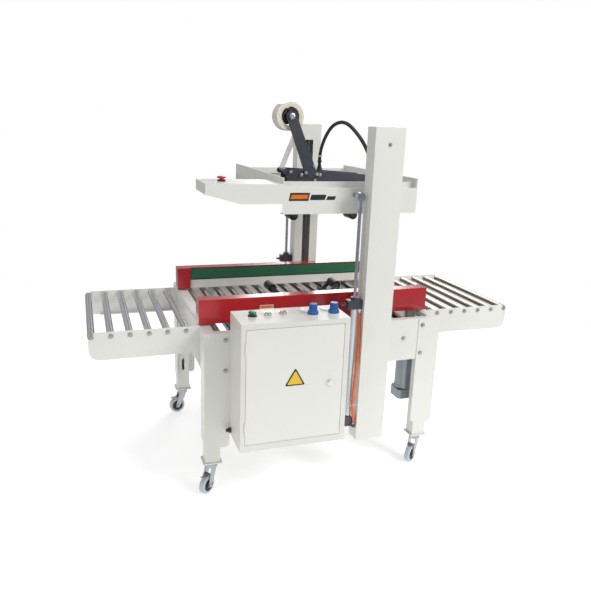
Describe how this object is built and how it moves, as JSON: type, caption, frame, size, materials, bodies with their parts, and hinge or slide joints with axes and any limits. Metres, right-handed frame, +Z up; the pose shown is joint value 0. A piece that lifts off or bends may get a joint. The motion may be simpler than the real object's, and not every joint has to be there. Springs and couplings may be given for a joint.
{
  "type": "carton sealer",
  "caption": "Side-belt carton sealer with upper and lower tape heads, a lifting head carriage between two columns, roller tables and swivel casters.",
  "frame": {"origin": "centre of the bounding box, on the floor under the casters", "axes": "+X along the conveyor from infeed to outfeed, +Y away from the control box across the conveyor, +Z up"},
  "size_m": [1.838, 1.0526, 1.534],
  "materials": {
    "body_paint": "satin powder coat",
    "leg_paint": "satin powder coat",
    "table_paint": "satin powder coat",
    "column_paint": "satin powder coat",
    "box_paint": "satin powder coat",
    "door_paint": "satin powder coat",
    "carriage_paint": "satin powder coat",
    "hardware": "zinc plated",
    "cylinder": "black end blocks and a satin silver barrel",
    "hose": "smooth",
    "bed_roller": "bright plated",
    "table_roller": "bright plated with pale yellow bearing ends",
    "lower_black": "satin powder coat",
    "head_black": "satin powder coat",
    "arm_black": "satin powder coat",
    "piston": "polished",
    "conduit": "ribbed",
    "tape": "clear adhesive tape wound on a paper core",
    "hub": "moulded",
    "film": "clear film",
    "near_red": "gloss",
    "far_red": "gloss",
    "belt": "fine ribbed",
    "motor": "cast and turned",
    "pulley": "turned",
    "start_green": "smooth",
    "key_green": "smooth",
    "key_red": "smooth",
    "regulator": "smooth",
    "stop_red": "smooth",
    "wipe_rubber": "smooth",
    "fork": "zinc plated",
    "wheel": "moulded tread with dark covers"
  },
  "bodies": {
    "frame": {"body_frame": "body_paint", "table_frames": "table_paint", "legs": "leg_paint", "columns": "column_paint", "frame_hardware": "hardware", "cylinders": "cylinder", "air_hose": "hose", "bed_rollers": "bed_roller", "lower_head": "lower_black", "control_box": "box_paint"},
    "carriage": {"carriage_frame": "carriage_paint", "upper_head": "head_black", "piston_rods": "piston", "conduit": "conduit", "tape_web": "film"},
    "tape_supply": {"tape_roll": "tape", "reel_hub": "hub"},
    "upper_front_arm": {"upper_front_arm": "arm_black"},
    "upper_front_roller": {"upper_front_roller": "wipe_rubber"},
    "upper_rear_arm": {"upper_rear_arm": "arm_black"},
    "upper_rear_roller": {"upper_rear_roller": "wipe_rubber"},
    "lower_front_arm": {"lower_front_arm": "arm_black"},
    "lower_front_roller": {"lower_front_roller": "wipe_rubber"},
    "lower_rear_arm": {"lower_rear_arm": "arm_black"},
    "lower_rear_roller": {"lower_rear_roller": "wipe_rubber"},
    "near_guide": {"near_guide": "near_red", "near_belt": "belt", "near_motor": "motor"},
    "near_pulley": {"near_pulley": "pulley"},
    "far_guide": {"far_guide": "far_red", "far_belt": "belt", "far_motor": "motor"},
    "far_pulley": {"far_pulley": "pulley"},
    "door": {"door": "door_paint"},
    "start_button": {"start_button": "start_green"},
    "green_button": {"green_button": "key_green"},
    "red_button": {"red_button": "key_red"},
    "left_regulator": {"left_regulator": "regulator"},
    "right_regulator": {"right_regulator": "regulator"},
    "stop_button": {"stop_button": "stop_red"},
    "fork_a": {"fork_a": "fork"},
    "wheel_a": {"wheel_a": "wheel"},
    "fork_b": {"fork_b": "fork"},
    "wheel_b": {"wheel_b": "wheel"},
    "fork_c": {"fork_c": "fork"},
    "wheel_c": {"wheel_c": "wheel"},
    "fork_d": {"fork_d": "fork"},
    "wheel_d": {"wheel_d": "wheel"},
    "infeed_roller_1": {"infeed_roller_1": "table_roller"},
    "infeed_roller_2": {"infeed_roller_2": "table_roller"},
    "infeed_roller_3": {"infeed_roller_3": "table_roller"},
    "infeed_roller_4": {"infeed_roller_4": "table_roller"},
    "infeed_roller_5": {"infeed_roller_5": "table_roller"},
    "infeed_roller_6": {"infeed_roller_6": "table_roller"},
    "outfeed_roller_1": {"outfeed_roller_1": "table_roller"},
    "outfeed_roller_2": {"outfeed_roller_2": "table_roller"},
    "outfeed_roller_3": {"outfeed_roller_3": "table_roller"},
    "outfeed_roller_4": {"outfeed_roller_4": "table_roller"},
    "outfeed_roller_5": {"outfeed_roller_5": "table_roller"},
    "outfeed_roller_6": {"outfeed_roller_6": "table_roller"}
  },
  "joints": [
    {"name": "head_lift", "type": "slide", "parent": "frame", "child": "carriage", "axis": [0, 0, 1], "range_m": [-0.31, 0.06], "deforming": ["conduit"]},
    {"name": "tape_turn", "type": "hinge", "parent": "carriage", "child": "tape_supply", "pos_m": [-0.072, 0.05025, 1.475], "axis": [0, 1, 0], "continuous": true},
    {"name": "upper_front_swing", "type": "hinge", "parent": "carriage", "child": "upper_front_arm", "pos_m": [0.035, 0.05025, 1.135], "axis": [0, 1, 0], "range_deg": [0, 50], "stiffness_Nm_per_rad": 6, "springref_deg": -20.05},
    {"name": "upper_front_roll", "type": "hinge", "parent": "upper_front_arm", "child": "upper_front_roller", "pos_m": [-0.043, 0.05025, 1.06], "axis": [0, 1, 0], "continuous": true},
    {"name": "upper_rear_swing", "type": "hinge", "parent": "carriage", "child": "upper_rear_arm", "pos_m": [0.16, 0.05025, 1.135], "axis": [0, 1, 0], "range_deg": [-50, 0], "stiffness_Nm_per_rad": 6, "springref_deg": 20.05},
    {"name": "upper_rear_roll", "type": "hinge", "parent": "upper_rear_arm", "child": "upper_rear_roller", "pos_m": [0.238, 0.05025, 1.06], "axis": [0, 1, 0], "continuous": true},
    {"name": "lower_front_swing", "type": "hinge", "parent": "frame", "child": "lower_front_arm", "pos_m": [-0.053, 0.05025, 0.665], "axis": [0, 1, 0], "range_deg": [-50, 0], "stiffness_Nm_per_rad": 6, "springref_deg": 34.38},
    {"name": "lower_front_roll", "type": "hinge", "parent": "lower_front_arm", "child": "lower_front_roller", "pos_m": [-0.131, 0.05025, 0.74], "axis": [0, 1, 0], "continuous": true},
    {"name": "lower_rear_swing", "type": "hinge", "parent": "frame", "child": "lower_rear_arm", "pos_m": [0.097, 0.05025, 0.665], "axis": [0, 1, 0], "range_deg": [0, 50], "stiffness_Nm_per_rad": 6, "springref_deg": -34.38},
    {"name": "lower_rear_roll", "type": "hinge", "parent": "lower_rear_arm", "child": "lower_rear_roller", "pos_m": [0.175, 0.05025, 0.74], "axis": [0, 1, 0], "continuous": true},
    {"name": "near_guide_slide", "type": "slide", "parent": "frame", "child": "near_guide", "axis": [0, 1, 0], "range_m": [-0.005, 0.185]},
    {"name": "near_belt_drive", "type": "hinge", "parent": "near_guide", "child": "near_pulley", "pos_m": [0.43, -0.21975, 0.7], "axis": [0, 0, 1], "continuous": true},
    {"name": "far_guide_slide", "type": "slide", "parent": "frame", "child": "far_guide", "axis": [0, 1, 0], "range_m": [-0.185, 0.005]},
    {"name": "far_belt_drive", "type": "hinge", "parent": "far_guide", "child": "far_pulley", "pos_m": [0.43, 0.32025, 0.7], "axis": [0, 0, 1], "continuous": true},
    {"name": "door_hinge", "type": "hinge", "parent": "frame", "child": "door", "pos_m": [-0.388, -0.52025, 0.5], "axis": [0, 0, 1], "range_deg": [-110, 0]},
    {"name": "start_button_push", "type": "slide", "parent": "frame", "child": "start_button", "axis": [0, 0, -1], "range_m": [0, 0.004], "stiffness_N_per_m": 500, "springref_m": -0.003},
    {"name": "green_button_push", "type": "slide", "parent": "frame", "child": "green_button", "axis": [0, 0, -1], "range_m": [0, 0.003], "stiffness_N_per_m": 500, "springref_m": -0.003},
    {"name": "red_button_push", "type": "slide", "parent": "frame", "child": "red_button", "axis": [0, 0, -1], "range_m": [0, 0.003], "stiffness_N_per_m": 500, "springref_m": -0.003},
    {"name": "left_regulator_turn", "type": "hinge", "parent": "frame", "child": "left_regulator", "pos_m": [-0.114, -0.45509, 0.76], "axis": [0, 0, 1], "continuous": true},
    {"name": "right_regulator_turn", "type": "hinge", "parent": "frame", "child": "right_regulator", "pos_m": [-0.03, -0.45509, 0.76], "axis": [0, 0, 1], "continuous": true},
    {"name": "stop_button_push", "type": "slide", "parent": "carriage", "child": "stop_button", "axis": [0, 0, -1], "range_m": [0, 0.004], "stiffness_N_per_m": 500, "springref_m": -0.003},
    {"name": "caster_a_swivel", "type": "hinge", "parent": "frame", "child": "fork_a", "pos_m": [-0.472, -0.32175, 0.1], "axis": [0, 0, 1], "continuous": true},
    {"name": "caster_a_roll", "type": "hinge", "parent": "fork_a", "child": "wheel_a", "pos_m": [-0.49504, -0.34249, 0.0375], "axis": [0.6691, -0.7431, 0], "continuous": true},
    {"name": "caster_b_swivel", "type": "hinge", "parent": "frame", "child": "fork_b", "pos_m": [0.452, -0.32175, 0.1], "axis": [0, 0, 1], "continuous": true},
    {"name": "caster_b_roll", "type": "hinge", "parent": "fork_b", "child": "wheel_b", "pos_m": [0.42661, -0.33953, 0.0375], "axis": [0.5736, -0.8192, 0], "continuous": true},
    {"name": "caster_c_swivel", "type": "hinge", "parent": "frame", "child": "fork_c", "pos_m": [-0.472, 0.42225, 0.1], "axis": [0, 0, 1], "continuous": true},
    {"name": "caster_c_roll", "type": "hinge", "parent": "fork_c", "child": "wheel_c", "pos_m": [-0.50253, 0.41687, 0.0375], "axis": [0.1736, -0.9848, 0], "continuous": true},
    {"name": "caster_d_swivel", "type": "hinge", "parent": "frame", "child": "fork_d", "pos_m": [0.452, 0.42225, 0.1], "axis": [0, 0, 1], "continuous": true},
    {"name": "caster_d_roll", "type": "hinge", "parent": "fork_d", "child": "wheel_d", "pos_m": [0.43291, 0.39782, 0.0375], "axis": [0.788, -0.6157, 0], "continuous": true},
    {"name": "infeed_roller_1_spin", "type": "hinge", "parent": "frame", "child": "infeed_roller_1", "pos_m": [-0.555, 0.05025, 0.66], "axis": [0, 1, 0], "continuous": true},
    {"name": "infeed_roller_2_spin", "type": "hinge", "parent": "frame", "child": "infeed_roller_2", "pos_m": [-0.625, 0.05025, 0.66], "axis": [0, 1, 0], "continuous": true},
    {"name": "infeed_roller_3_spin", "type": "hinge", "parent": "frame", "child": "infeed_roller_3", "pos_m": [-0.695, 0.05025, 0.66], "axis": [0, 1, 0], "continuous": true},
    {"name": "infeed_roller_4_spin", "type": "hinge", "parent": "frame", "child": "infeed_roller_4", "pos_m": [-0.765, 0.05025, 0.66], "axis": [0, 1, 0], "continuous": true},
    {"name": "infeed_roller_5_spin", "type": "hinge", "parent": "frame", "child": "infeed_roller_5", "pos_m": [-0.835, 0.05025, 0.66], "axis": [0, 1, 0], "continuous": true},
    {"name": "infeed_roller_6_spin", "type": "hinge", "parent": "frame", "child": "infeed_roller_6", "pos_m": [-0.905, 0.05025, 0.66], "axis": [0, 1, 0], "continuous": true},
    {"name": "outfeed_roller_1_spin", "type": "hinge", "parent": "frame", "child": "outfeed_roller_1", "pos_m": [0.555, 0.05025, 0.66], "axis": [0, 1, 0], "continuous": true},
    {"name": "outfeed_roller_2_spin", "type": "hinge", "parent": "frame", "child": "outfeed_roller_2", "pos_m": [0.625, 0.05025, 0.66], "axis": [0, 1, 0], "continuous": true},
    {"name": "outfeed_roller_3_spin", "type": "hinge", "parent": "frame", "child": "outfeed_roller_3", "pos_m": [0.695, 0.05025, 0.66], "axis": [0, 1, 0], "continuous": true},
    {"name": "outfeed_roller_4_spin", "type": "hinge", "parent": "frame", "child": "outfeed_roller_4", "pos_m": [0.765, 0.05025, 0.66], "axis": [0, 1, 0], "continuous": true},
    {"name": "outfeed_roller_5_spin", "type": "hinge", "parent": "frame", "child": "outfeed_roller_5", "pos_m": [0.835, 0.05025, 0.66], "axis": [0, 1, 0], "continuous": true},
    {"name": "outfeed_roller_6_spin", "type": "hinge", "parent": "frame", "child": "outfeed_roller_6", "pos_m": [0.905, 0.05025, 0.66], "axis": [0, 1, 0], "continuous": true}
  ],
  "couplings": [
    {"joint": "upper_rear_swing", "follows": "upper_front_swing", "ratio": -1},
    {"joint": "lower_rear_swing", "follows": "lower_front_swing", "ratio": -1},
    {"joint": "far_guide_slide", "follows": "near_guide_slide", "ratio": -1}
  ]
}
